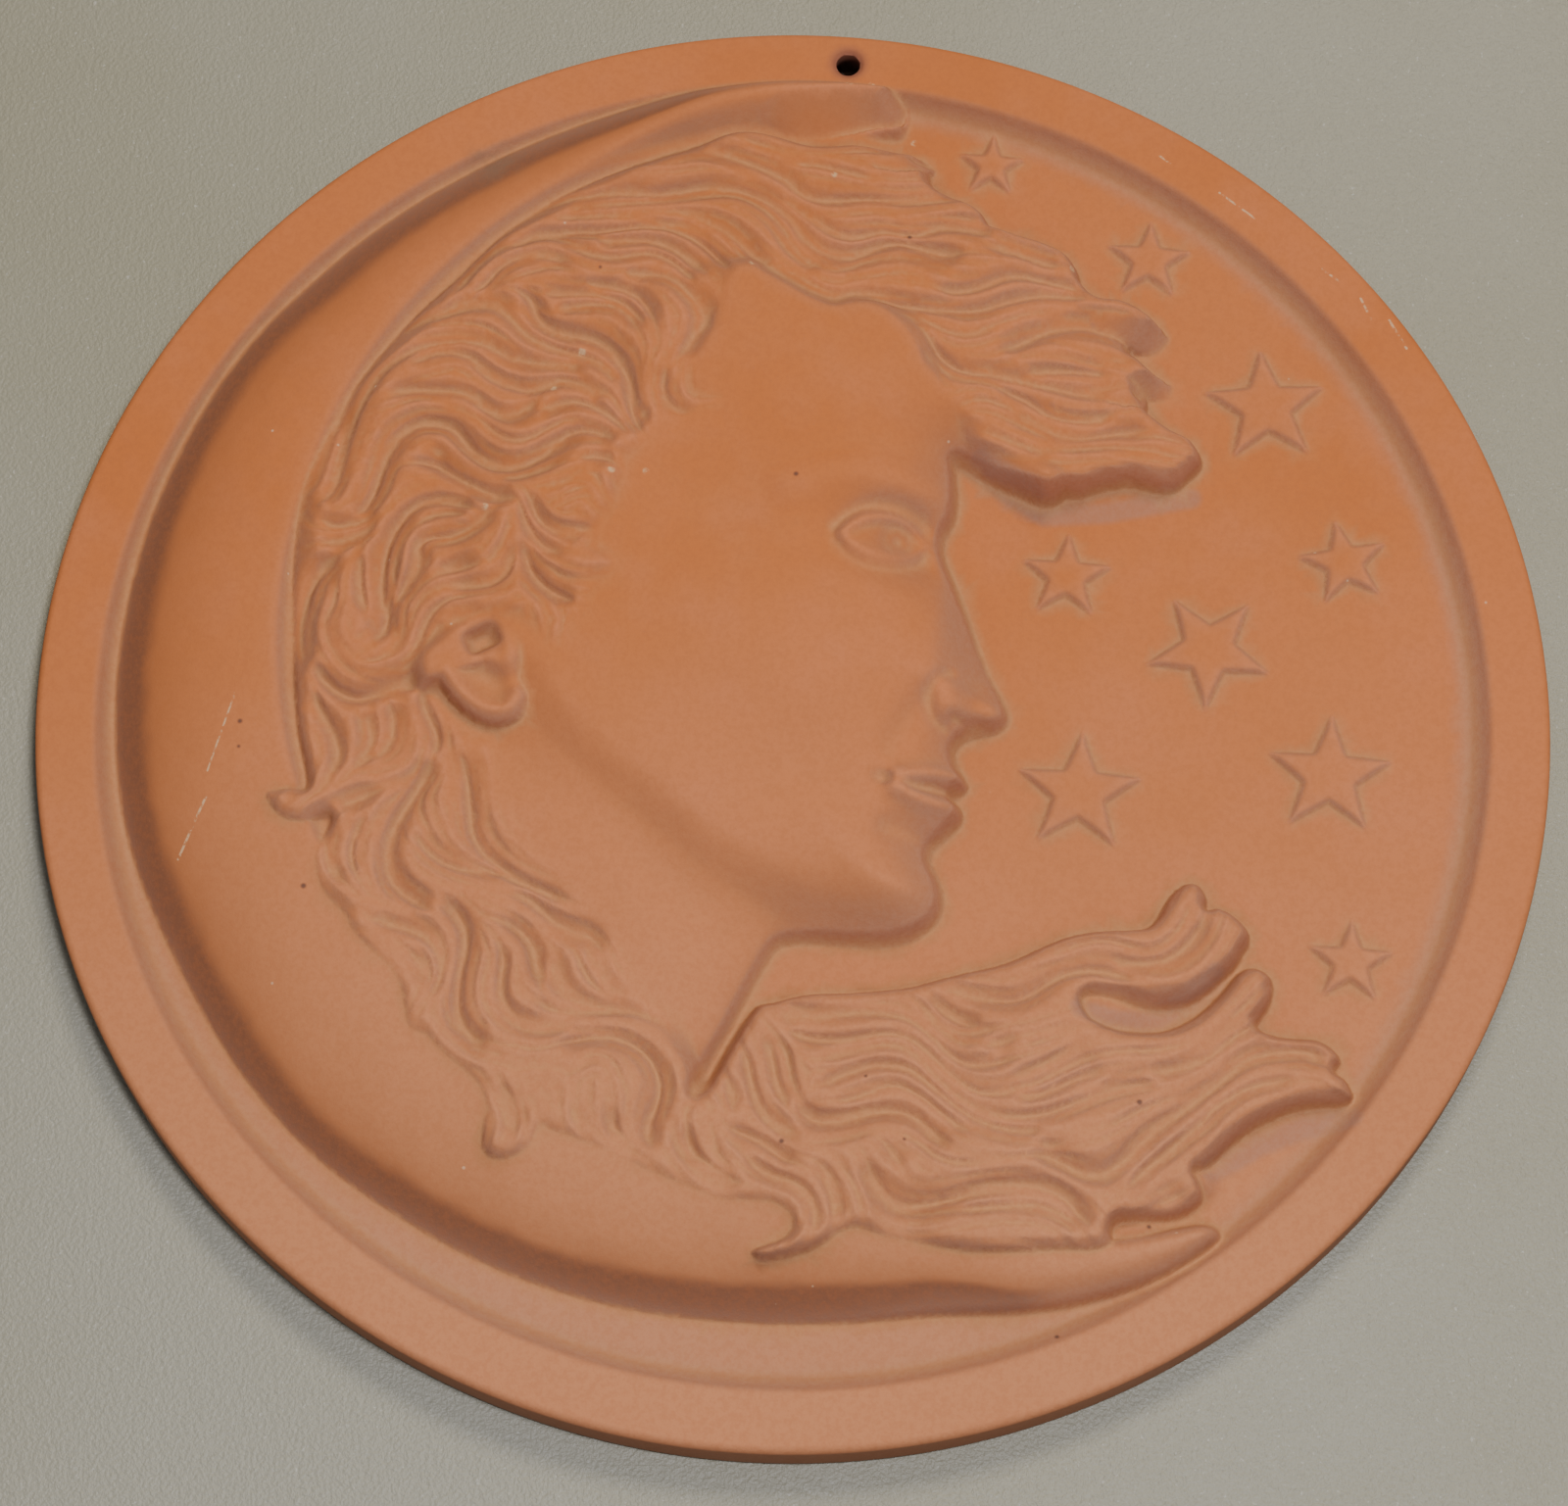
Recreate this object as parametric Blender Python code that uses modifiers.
"""Round fired-clay wall plaque: a head in profile inside a crescent moon, with nine stars."""

import math

import bmesh
import bpy
import numpy as np
from mathutils import Matrix

# Sizes of the turned disc, in metres
RADIUS = 0.200
FIELD_THICKNESS = 0.009
RIM_THICKNESS = 0.014
RIM_WIDTH = 0.0162
LIP_SLOPE = 0.0046
RIM_ROUNDING = 0.0022
BACK_ROUNDING = 0.0010
DISC_STEPS = 120

# Nail hole through the rim
HOLE_DIAMETER = 0.0065
HOLE_FROM_EDGE = 0.0092
HOLE_STEPS = 24

# Heights of the relief above the field, in metres
CRESCENT_RISE = 0.0102
HORN_INNER_RISE = 0.0055
HAIR_BED_RISE = 0.0065
FACE_EDGE_RISE = 0.0044
FACE_SWELL = 0.0124
NECK_SWELL = 0.0062
STAR_RISE = 0.0015
STRAND_DEPTH = 0.0026

# The carving is laid out in units of one 184th of the field's radius
FIELD_RADIUS = RADIUS - RIM_WIDTH
UNIT = FIELD_RADIUS / 184.0
CRESCENT_OUTER = (0.9, 7.7, 178.7)
CRESCENT_INNER = (14.4, 21.9, 153.2)
UPPER_HORN_ANGLE = 85.5
LOWER_HORN_ANGLE = 311.5
RELIEF_RADIUS = 186.5
RELIEF_CELLS = 250
RELIEF_TRIANGLES = 6500
SUNK = 0.0016

# Stars: place, size and turn in degrees
STAR_POINTS = 5
STAR_WAIST = 0.43
STARS = (
    (42.0, 164.3, 9.5, 0.0),
    (87.0, 138.8, 12.0, 0.0),
    (121.0, 97.3, 17.0, 8.0),
    (70.0, 43.3, 12.5, 0.0),
    (144.0, 53.3, 12.5, 14.0),
    (109.0, 25.3, 17.0, 180.0),
    (77.0, -17.7, 17.0, 0.0),
    (142.5, -7.7, 17.0, 0.0),
    (150.0, -58.7, 11.5, 0.0),
)

# Locks of hair: lift above what they lie on, half width at root, middle and tip, strands, then the path
LOCKS = (
    # flowing to the right over the forehead
    (3.0, 9, 8, 3.0, 2, (-58, 141), (-36, 153), (-12, 158), (8, 160), (23, 161.5)),
    (3.0, 9, 8, 4.0, 3, (-74, 128), (-48, 140), (-18, 146), (10, 147), (38, 146.5)),
    (3.2, 9, 9, 3.5, 3, (-84, 112), (-56, 128), (-26, 135), (8, 133), (36, 137), (64, 134)),
    (3.6, 8, 9, 4.0, 3, (-60, 113), (-36, 121), (-10, 127), (20, 123), (50, 125), (72, 121), (88, 112)),
    (3.2, 7, 8, 4.0, 3, (-6, 119), (18, 116), (40, 114), (62, 111), (82, 106), (90, 102)),
    (3.2, 7, 7, 4.0, 2, (19, 110), (36, 103), (54, 102), (74, 100), (90, 96)),
    (3.2, 6, 8, 4.5, 3, (30, 101), (38, 91), (54, 89), (74, 90), (84, 92)),
    (3.2, 5, 7, 6.0, 2, (36, 90), (46, 80), (62, 77), (80, 79), (97, 79)),
    # from the crescent's inner edge to the temple
    (3.2, 8, 8, 4.0, 3, (-97, 100), (-78, 111), (-56, 110), (-40, 99), (-33, 88)),
    (3.4, 8, 8, 4.0, 3, (-110, 84), (-90, 95), (-68, 96), (-50, 88), (-40, 78)),
    (3.6, 8, 8, 5.0, 3, (-119, 67), (-100, 80), (-78, 81), (-60, 72), (-48, 66)),
    (3.6, 8, 8, 5.0, 3, (-126, 50), (-109, 65), (-88, 66), (-70, 57), (-56, 54)),
    (3.6, 7, 8, 5.0, 3, (-129, 30), (-120, 50), (-99, 52), (-80, 44), (-64, 40)),
    (3.8, 6, 8, 4.0, 3, (-110, 34), (-94, 41), (-76, 32), (-62, 29), (-52, 33)),
    (3.6, 7, 7, 4.0, 2, (-86, 24), (-74, 29), (-64, 20), (-58, 12)),
    (3.6, 7, 8, 5.0, 3, (-128, 16), (-121, 34), (-106, 38), (-99, 26), (-92, 13)),
    (3.2, 7, 8, 5.0, 3, (-127, -4), (-122, 10), (-112, 19), (-101, 10), (-93, -3)),
    # down the nape and over the crescent
    (3.2, 6, 7, 4.0, 2, (-124, -14), (-116, -3), (-104, -8), (-92, -15), (-80, -22)),
    (3.2, 7, 8, 5.0, 3, (-112, -18), (-104, -30), (-92, -38), (-82, -50), (-70, -58)),
    (3.2, 5, 5, 3.0, 1, (-100, -30), (-112, -35), (-122, -39), (-131, -40)),
    (3.0, 7, 8, 5.0, 3, (-111, -40), (-108, -56), (-98, -68), (-84, -76), (-72, -88)),
    (3.0, 7, 8, 4.0, 3, (-84, -24), (-82, -42), (-72, -56), (-58, -64), (-46, -76)),
    (3.0, 7, 8, 4.5, 3, (-95, -58), (-84, -66), (-72, -72), (-60, -84), (-44, -92)),
    (3.2, 7, 8, 4.0, 3, (-92, -78), (-78, -88), (-64, -98), (-46, -102), (-26, -98)),
    (3.2, 6, 5, 3.5, 2, (-78, -98), (-66, -106), (-62, -118), (-63, -126)),
    (3.2, 8, 8, 5.0, 3, (-58, -106), (-44, -108), (-34, -114), (-28, -122), (-20, -128)),
    (3.0, 7, 7, 5.0, 3, (-40, -100), (-24, -104), (-16, -114), (-8, -124), (2, -131)),
    (3.0, 6, 5, 2.5, 1, (-14, -116), (4, -126), (16, -134), (17, -144), (6, -149.5)),
    # blown to the right below the neck
    (2.8, 6, 8, 5.0, 3, (-9, -96), (14, -88), (38, -84), (60, -76), (84, -65), (104, -47)),
    (2.8, 6, 7, 4.0, 2, (64, -84), (82, -70), (100, -66), (112, -58), (119, -54)),
    (3.0, 7, 9, 4.0, 3, (-10, -104), (14, -99), (40, -97), (64, -94), (90, -93), (110, -86), (126, -68)),
    (3.2, 7, 9, 4.0, 3, (-8, -112), (14, -110), (40, -109), (66, -104), (94, -102), (120, -93), (144, -85)),
    (2.8, 6, 7, 3.0, 2, (84, -112), (106, -103), (124, -95), (147, -94)),
    (3.0, 7, 9, 5.0, 3, (-4, -122), (18, -120), (42, -121), (66, -117), (90, -114), (108, -121)),
    (3.0, 7, 7, 4.0, 2, (16, -132), (40, -131), (64, -127), (84, -128), (88, -137)),
)

# Masses of hair under the locks: rise at the left and at the right end, then the outline
HAIR_MASSES = (
    (13.0, 8.0, (-133, 12), (-135, 38), (-130, 64), (-119, 90), (-104, 111), (-84, 133), (-60, 149),
     (-34, 160), (-8, 161), (22, 162.5), (25, 158), (40, 150), (44, 143.5), (64, 138), (68, 129),
     (80, 123.5), (91, 112), (93, 97), (87, 90), (99, 85), (103, 77), (96, 70), (76, 71.4), (60, 67),
     (44, 71), (34, 85), (26, 102), (12, 112), (2, 111), (-10, 110), (-16, 112), (-18, 104), (-24, 88),
     (-34, 70), (-42, 50), (-44, 30), (-50, 8), (-66, 6), (-90, 8), (-97, -3), (-88, -18),
     (-104, -34), (-118, -30), (-120, -16), (-129, -6)),
    (10.0, 7.0, (-2, -83), (12, -79), (37, -75), (62, -66), (84, -56), (97, -54), (102, -46), (107, -41),
     (112, -46), (119, -49), (123.5, -55.5), (118, -61), (111, -68.5), (101, -74), (88, -73.5),
     (83, -78), (94, -85.3), (107, -81.5), (117, -71), (127, -63), (130, -70), (126.5, -78.3),
     (142, -80.8), (148, -86), (150.5, -95), (134, -97.4), (122, -105), (111.5, -118.5), (115, -125.5),
     (99, -133.3), (91, -140.5), (71, -137.7), (50, -141), (24, -141), (0, -136.7), (-24, -131.6),
     (-54, -121), (-68, -114), (-85, -100.8), (-92, -94), (-104, -77.3), (-118, -61), (-117.5, -45),
     (-104, -32), (-88, -16), (-77, -24), (-74, -35), (-56, -54.5), (-38, -73), (-27, -88.5),
     (-15, -108), (-8, -95)),
)
HAIR_MASS_ROUNDING = 5.0
LOCK_ROUNDING = 0.7
WINDOW_MARGIN = 12.0

# Outline of the face from the hair to the front of the neck
FACE_PROFILE = (
    (39, 74), (39.6, 62), (36.8, 50), (41, 38), (50, 19.5), (57.3, 4.5), (55, -2.6), (46, -6),
    (44, -10), (47.5, -19), (44.6, -22.6), (46.8, -28), (40, -38), (43.6, -50), (38, -61),
    (24, -65), (2, -67), (-4, -80), (-10, -97), (-15, -110),
)
SKIN_BACK = (
    (-22, -104), (-46, -78), (-68, -56), (-84, -34), (-92, -16), (-95, 4), (-70, 22), (-52, 36), (-44, 66),
    (-34, 92), (-24, 120), (4, 113), (26, 104),
)
JAW_LINE = ((30, -66), (4, -60), (-22, -46), (-49, -27), (-68, -10), (-78, 6))
EAR = (-81, 0, 13, 17)

# Colour of the fired clay
CLAY_COLOUR = (0.50, 0.215, 0.115, 1.0)
CLAY_ROUGHNESS = 0.85
SMOOTH_BELOW = 40


def smooth_path(points, closed=False, step=1.0):
    """Points of a smooth curve through the given ones, about one step apart."""
    given = np.array(points, float)
    if closed:
        line = np.vstack([given[-1:], given, given[:2]])
    else:
        line = np.vstack([2 * given[:1] - given[1:2], given, 2 * given[-1:] - given[-2:-1]])
    pieces = []
    for a, b, c, d in zip(line[:-3], line[1:-2], line[2:-1], line[3:]):
        count = max(2, int(math.ceil(math.hypot(*(c - b)) / step)))
        t = np.linspace(0, 1, count, endpoint=False)[:, None]
        pieces.append(0.5 * (2 * b + (c - a) * t + (2 * a - 5 * b + 4 * c - d) * t ** 2
                             + (3 * b - a - 3 * c + d) * t ** 3))
    if not closed:
        pieces.append(given[-1:])
    return np.vstack(pieces)


def ease(t):
    """Smooth change from 0 to 1."""
    t = np.clip(t, 0, 1)
    return t * t * (3 - 2 * t)


def quarter_round(distance, radius):
    """0 at an edge, rising to 1 like a rounded shoulder."""
    t = 1 - np.clip(distance / radius, 0, 1)
    return np.sqrt(np.clip(1 - t * t, 0, 1))


def mound(x, z, cx, cz, half_x, half_z, turn=0.0):
    """Soft round mound of height 1."""
    c, s = math.cos(math.radians(turn)), math.sin(math.radians(turn))
    across = ((x - cx) * c + (z - cz) * s) / half_x
    along = ((z - cz) * c - (x - cx) * s) / half_z
    return np.exp(-across ** 2 - along ** 2)


def from_path(x, z, path):
    """Distance to a path, the share of its length at the nearest point, and the side of it."""
    distance = np.full(x.shape, 1e9)
    nearest = np.zeros(x.shape, int)
    for index, (px, pz) in enumerate(path):
        squared = (x - px) ** 2 + (z - pz) ** 2
        closer = squared < distance
        distance = np.where(closer, squared, distance)
        nearest = np.where(closer, index, nearest)
    ahead = np.gradient(path, axis=0)
    side = (ahead[nearest, 0] * (z - path[nearest, 1]) - ahead[nearest, 1] * (x - path[nearest, 0]))
    return np.sqrt(distance), nearest / (len(path) - 1), np.sign(side)


def enclosed(x, z, outline):
    """True inside a closed outline."""
    inside = np.zeros(x.shape, bool)
    for (ax, az), (bx, bz) in zip(outline, np.roll(outline, -1, axis=0)):
        if az == bz:
            continue
        crosses = ((az > z) != (bz > z)) & (x < (bx - ax) * (z - az) / (bz - az) + ax)
        inside ^= crosses
    return inside


def crescent_rise(x, z):
    """Rise of the moon: steep at its outer edge, highest near its inner edge."""
    angle = (np.degrees(np.arctan2(z, x)) - 40) % 360 + 40
    ox, oz, outer = CRESCENT_OUTER
    ix, iz, inner = CRESCENT_INNER
    from_outer = outer - np.hypot(x - ox, z - oz)
    from_inner = np.hypot(x - ix, z - iz) - inner
    across = from_outer / np.maximum(from_outer + from_inner, 0.001)
    horn = ease((118 - angle) / 26)
    crest = 1 - 0.66 * horn
    slope_in = ease((across - crest) / np.maximum(1 - crest, 0.02))
    inner_share = HORN_INNER_RISE / CRESCENT_RISE
    rise = np.where(across < crest, quarter_round(across / crest, 1.0),
                    1 - (1 - inner_share) * horn * slope_in)
    upper_end = quarter_round((angle - UPPER_HORN_ANGLE) * 3.1, 10)
    ends = upper_end * quarter_round((LOWER_HORN_ANGLE - angle) * 3.1, 7)
    inside = (from_outer > 0) & (from_inner > -2.0)
    return np.where(inside, CRESCENT_RISE * rise * ends, -1.0)


def hair_bed_rise(x, z):
    """Low bed just inside the crescent, on which the hair lies."""
    angle = (np.degrees(np.arctan2(z, x)) - 40) % 360 + 40
    ix, iz, inner = CRESCENT_INNER
    from_inner = np.hypot(x - ix, z - iz) - inner
    ends = ease((angle - 98) / 10) * ease((285 - angle) / 10)
    return np.where(from_inner < 0.5, HAIR_BED_RISE * ends * ease((from_inner + 24) / 8), -1.0)


def lock_rise(x, z, lock, base):
    """Rise of one tapering lock of hair with its strands, lying on a base."""
    lift, root, middle, tip, strands = lock[:5]
    path = smooth_path(lock[5:])
    distance, along, side = from_path(x, z, path)
    half_width = np.where(along < 0.5, root + (middle - root) * 2 * along,
                          middle + (tip - middle) * ease(2 * along - 1))
    share = distance / half_width
    valley = (0.5 + 0.5 * np.cos(math.pi * strands * (side * share + 1))) ** 2
    body = 0.001 * lift * quarter_round(1 - share, LOCK_ROUNDING)
    return np.where(share < 1, base + body - STRAND_DEPTH * valley, -1.0)


def mass_rise(x, z, mass):
    """Rise of a smooth mass of hair with a rounded edge, lower towards its right end."""
    left_rise, right_rise = mass[:2]
    outline = smooth_path(mass[2:], closed=True)
    left, right = outline[:, 0].min(), outline[:, 0].max()
    level = left_rise + (right_rise - left_rise) * ease((x - left) / (right - left))
    depth = from_path(x, z, outline)[0]
    rise = 0.001 * level * quarter_round(depth, HAIR_MASS_ROUNDING)
    return np.where(enclosed(x, z, outline), rise, -1.0)


def skin_rise(x, z):
    """Rise of the face, the neck and the ear inside their outline."""
    profile = smooth_path(FACE_PROFILE)
    outline = np.vstack([profile, smooth_path(SKIN_BACK)])
    inside = enclosed(x, z, outline)
    depth = from_path(x, z, profile)[0]
    edge = quarter_round(depth, 2.6)
    swell = 1 - np.exp(-depth / 15)
    mm = 0.001
    face = FACE_EDGE_RISE * edge + FACE_SWELL * swell
    face += mm * (1.6 * mound(x, z, -6, 88, 26, 20) + 2.6 * mound(x, z, -8, 12, 26, 18, -20))
    face += mm * (1.6 * mound(x, z, 29, -50, 11, 10) - 1.6 * mound(x, z, 4, -22, 16, 12, 30))
    brow = from_path(x, z, smooth_path(((38, 60), (20, 63), (-4, 57))))[0]
    face += mm * 1.7 * np.exp(-(brow / 6.5) ** 2)
    face -= mm * 5.0 * mound(x, z, 25, 46, 12, 9) * ease((depth - 1) / 6)
    ball = np.clip(1 - ((x - 20.5) / 11.5) ** 2 - ((z - 45.5) / 7) ** 2, 0, 1)
    face += mm * 3.0 * np.sqrt(ball)
    lid = from_path(x, z, smooth_path(((32, 47), (22, 53), (8, 45))))[0]
    face += mm * 1.5 * np.exp(-(lid / 1.8) ** 2)
    face -= mm * 4.6 * ease((x - 35) / 16) * ease((z + 4) / 10) * ease((50 - z) / 16)
    wing = np.clip(1 - ((x - 43.5) / 7.4) ** 2 - ((z - 1.5) / 6.6) ** 2, 0, 1)
    face += mm * (3.8 * np.sqrt(wing) + 2.0 * mound(x, z, 54, 2.4, 5.5, 5))
    upper_lip = from_path(x, z, smooth_path(((47, -19.3), (38, -19.4), (28, -21.6))))[0]
    lower_lip = from_path(x, z, smooth_path(((46, -27.2), (37, -26.6), (29, -23.8))))[0]
    mouth = from_path(x, z, smooth_path(((46, -22.8), (36, -23), (25.5, -21.6))))[0]
    chin_hollow = from_path(x, z, smooth_path(((41, -37.5), (34, -36), (28, -35))))[0]
    face += mm * (2.2 * np.exp(-(upper_lip / 2.7) ** 2) + 2.3 * np.exp(-(lower_lip / 3) ** 2))
    face -= mm * (2.6 * np.exp(-(mouth / 1.5) ** 2) + 1.5 * np.exp(-(chin_hollow / 3.4) ** 2))
    neck = FACE_EDGE_RISE * 0.75 * edge + NECK_SWELL * swell
    jaw_distance, share, side = from_path(x, z, smooth_path(JAW_LINE))
    above_jaw = ease((np.where(side > 0, -jaw_distance, jaw_distance) + 9) / 14)
    skin = neck + (face - neck) * above_jaw
    ear_x, ear_z, ear_half_x, ear_half_z = EAR
    lobe = np.clip(1 - ((x - ear_x) / ear_half_x) ** 2 - ((z - ear_z) / ear_half_z) ** 2, 0, 1)
    ear = mm * (14.6 + 2.8 * np.sqrt(lobe) - 5.0 * mound(x, z, ear_x, ear_z + 8, 5, 4.5))
    skin = np.where(lobe > 0, np.maximum(skin, ear), skin)
    return np.where(inside, skin, -1.0)


def relief_rise(x, z):
    """Height of the carving above the field; below it where there is none."""
    rise = np.maximum(crescent_rise(x, z), hair_bed_rise(x, z))
    rise = np.maximum(rise, skin_rise(x, z))
    for mass in HAIR_MASSES:
        rise = np.maximum(rise, mass_rise(x, z, mass))
    base = rise.copy()
    for lock in LOCKS:
        path = np.array(lock[5:], float)
        low = path.min(axis=0) - WINDOW_MARGIN
        high = path.max(axis=0) + WINDOW_MARGIN
        near = (x > low[0]) & (x < high[0]) & (z > low[1]) & (z < high[1])
        rise[near] = np.maximum(rise[near], lock_rise(x[near], z[near], lock, base[near]))
    return np.where(rise > 0.0002, rise, -SUNK)


def material(name, colour, roughness):
    """Plain Principled material."""
    made = bpy.data.materials.new(name)
    made.use_nodes = True
    shader = made.node_tree.nodes["Principled BSDF"]
    shader.inputs["Base Color"].default_value = colour
    shader.inputs["Roughness"].default_value = roughness
    return made


def add_object(name, mesh, collection):
    """New object with a mesh in a collection."""
    made = bpy.data.objects.new(name, mesh)
    collection.objects.link(made)
    return made


def turned_disc(collection):
    """Disc with a raised rim, turned from its section."""
    lip = FIELD_RADIUS - LIP_SLOPE
    corner = RIM_ROUNDING * (1 - math.sqrt(0.5))
    section = (
        (0.0, FIELD_THICKNESS),
        (lip, FIELD_THICKNESS),
        (FIELD_RADIUS, RIM_THICKNESS - 0.0006),
        (FIELD_RADIUS + 0.0012, RIM_THICKNESS),
        (RADIUS - RIM_ROUNDING, RIM_THICKNESS),
        (RADIUS - corner, RIM_THICKNESS - corner),
        (RADIUS, RIM_THICKNESS - RIM_ROUNDING),
        (RADIUS, BACK_ROUNDING),
        (RADIUS - BACK_ROUNDING, 0.0),
        (0.0, 0.0),
    )
    mesh = bpy.data.meshes.new("disc section")
    mesh.from_pydata([(r, 0.0, h) for r, h in section], [(i, i + 1) for i in range(len(section) - 1)], [])
    made = add_object("disc", mesh, collection)
    screw = made.modifiers.new("turn", "SCREW")
    screw.axis = "Z"
    screw.angle = math.tau
    screw.steps = DISC_STEPS
    screw.render_steps = DISC_STEPS
    screw.use_merge_vertices = True
    screw.merge_threshold = 0.00001
    screw.use_smooth_shade = False
    return made


def carved_relief(collection):
    """Closed body whose top is the carving and whose lower part lies inside the disc."""
    form = bmesh.new()
    bmesh.ops.create_grid(form, x_segments=RELIEF_CELLS, y_segments=RELIEF_CELLS, size=1.0)
    flat = np.array([vertex.co[:2] for vertex in form.verts])
    a, b = flat[:, 0], flat[:, 1]
    wide = np.abs(a) >= np.abs(b)
    safe_a = np.where(a == 0, 1.0, a)
    safe_b = np.where(b == 0, 1.0, b)
    angle = np.where(wide, math.pi / 4 * b / safe_a, math.pi / 2 - math.pi / 4 * a / safe_b)
    reach = np.where(wide, a, b)
    x = RELIEF_RADIUS * reach * np.cos(angle)
    z = RELIEF_RADIUS * reach * np.sin(angle)
    heights = FIELD_THICKNESS + relief_rise(x, z)
    for vertex, px, pz, height in zip(form.verts, x, z, heights):
        vertex.co = (px * UNIT, pz * UNIT, height)
    border = [edge for edge in form.edges if edge.is_boundary]
    skirt = bmesh.ops.extrude_edge_only(form, edges=border)["geom"]
    for vertex in skirt:
        if isinstance(vertex, bmesh.types.BMVert):
            vertex.co.z = FIELD_THICKNESS / 2
    bmesh.ops.holes_fill(form, edges=[edge for edge in form.edges if edge.is_boundary], sides=0)
    bmesh.ops.recalc_face_normals(form, faces=form.faces[:])
    bmesh.ops.triangulate(form, faces=form.faces[:])
    mesh = bpy.data.meshes.new("relief")
    form.to_mesh(mesh)
    form.free()
    made = add_object("relief", mesh, collection)
    thin = made.modifiers.new("thin", "DECIMATE")
    thin.ratio = RELIEF_TRIANGLES / len(mesh.polygons)
    return made


def star(index, place, collection):
    """Flat five-pointed star standing on the field."""
    cx, cz, reach, turn = place
    curve = bpy.data.curves.new("star outline", "CURVE")
    curve.dimensions = "2D"
    curve.fill_mode = "BOTH"
    low = FIELD_THICKNESS / 2
    high = FIELD_THICKNESS + STAR_RISE
    curve.extrude = (high - low) / 2
    line = curve.splines.new("POLY")
    line.points.add(2 * STAR_POINTS - 1)
    for corner in range(2 * STAR_POINTS):
        radius = reach if corner % 2 == 0 else reach * STAR_WAIST
        angle = math.radians(90 + turn) + math.pi * corner / STAR_POINTS
        px = (cx + radius * math.cos(angle)) * UNIT
        pz = (cz + radius * math.sin(angle)) * UNIT
        line.points[corner].co = (px, pz, 0.0, 1.0)
    line.use_cyclic_u = True
    outline = add_object("star outline", curve, collection)
    outline.location.z = (high + low) / 2
    bpy.context.view_layer.update()
    evaluated = outline.evaluated_get(bpy.context.evaluated_depsgraph_get())
    mesh = bpy.data.meshes.new_from_object(evaluated)
    form = bmesh.new()
    form.from_mesh(mesh)
    bmesh.ops.remove_doubles(form, verts=form.verts[:], dist=0.00001)
    bmesh.ops.recalc_face_normals(form, faces=form.faces[:])
    form.to_mesh(mesh)
    form.free()
    made = add_object("star %d" % index, mesh, collection)
    made.matrix_world = outline.matrix_world.copy()
    bpy.data.objects.remove(outline)
    return made


def nail_hole(collection):
    """Round cutter through the rim at the top."""
    form = bmesh.new()
    bmesh.ops.create_cone(form, cap_ends=True, segments=HOLE_STEPS, radius1=HOLE_DIAMETER / 2,
                          radius2=HOLE_DIAMETER / 2, depth=4 * RIM_THICKNESS)
    mesh = bpy.data.meshes.new("nail hole")
    form.to_mesh(mesh)
    form.free()
    made = add_object("nail hole", mesh, collection)
    made.location = (0.0, RADIUS - HOLE_FROM_EDGE, RIM_THICKNESS / 2)
    return made


def join(base, other, operation):
    """Boolean between two objects as a modifier of the first."""
    cut = base.modifiers.new(other.name, "BOOLEAN")
    cut.operation = operation
    cut.solver = "EXACT"
    cut.object = other


def build():
    """Builds the plaque standing upright with its front towards -Y and its back at y = 0."""
    for old in list(bpy.data.objects):
        bpy.data.objects.remove(old)
    scene = bpy.context.scene
    scene.unit_settings.system = "METRIC"
    scene.unit_settings.length_unit = "METERS"
    whole = bpy.data.collections.new("Moon and stars wall plaque")
    helpers = bpy.data.collections.new("Helpers")
    scene.collection.children.link(whole)
    scene.collection.children.link(helpers)

    body = turned_disc(whole)
    relief = carved_relief(helpers)
    join(body, relief, "UNION")
    helper_objects = [relief]
    for index, place in enumerate(STARS, 1):
        made = star(index, place, helpers)
        join(body, made, "UNION")
        helper_objects.append(made)
    hole = nail_hole(helpers)
    join(body, hole, "DIFFERENCE")
    helper_objects.append(hole)
    for made in helper_objects:
        made.hide_render = True
        made.display_type = "WIRE"

    bpy.context.view_layer.update()
    evaluated = body.evaluated_get(bpy.context.evaluated_depsgraph_get())
    mesh = bpy.data.meshes.new_from_object(evaluated)
    mesh.transform(Matrix.Rotation(math.pi / 2, 4, "X"))
    mesh.name = "plaque"
    plaque = add_object("plaque", mesh, whole)
    mesh.materials.clear()
    mesh.materials.append(material("terracotta", CLAY_COLOUR, CLAY_ROUGHNESS))
    mesh.shade_smooth()
    mesh.set_sharp_from_angle(angle=math.radians(SMOOTH_BELOW))
    bpy.data.objects.remove(body)
    for made in helper_objects:
        bpy.data.objects.remove(made)
    bpy.data.collections.remove(helpers)
    return plaque


build()
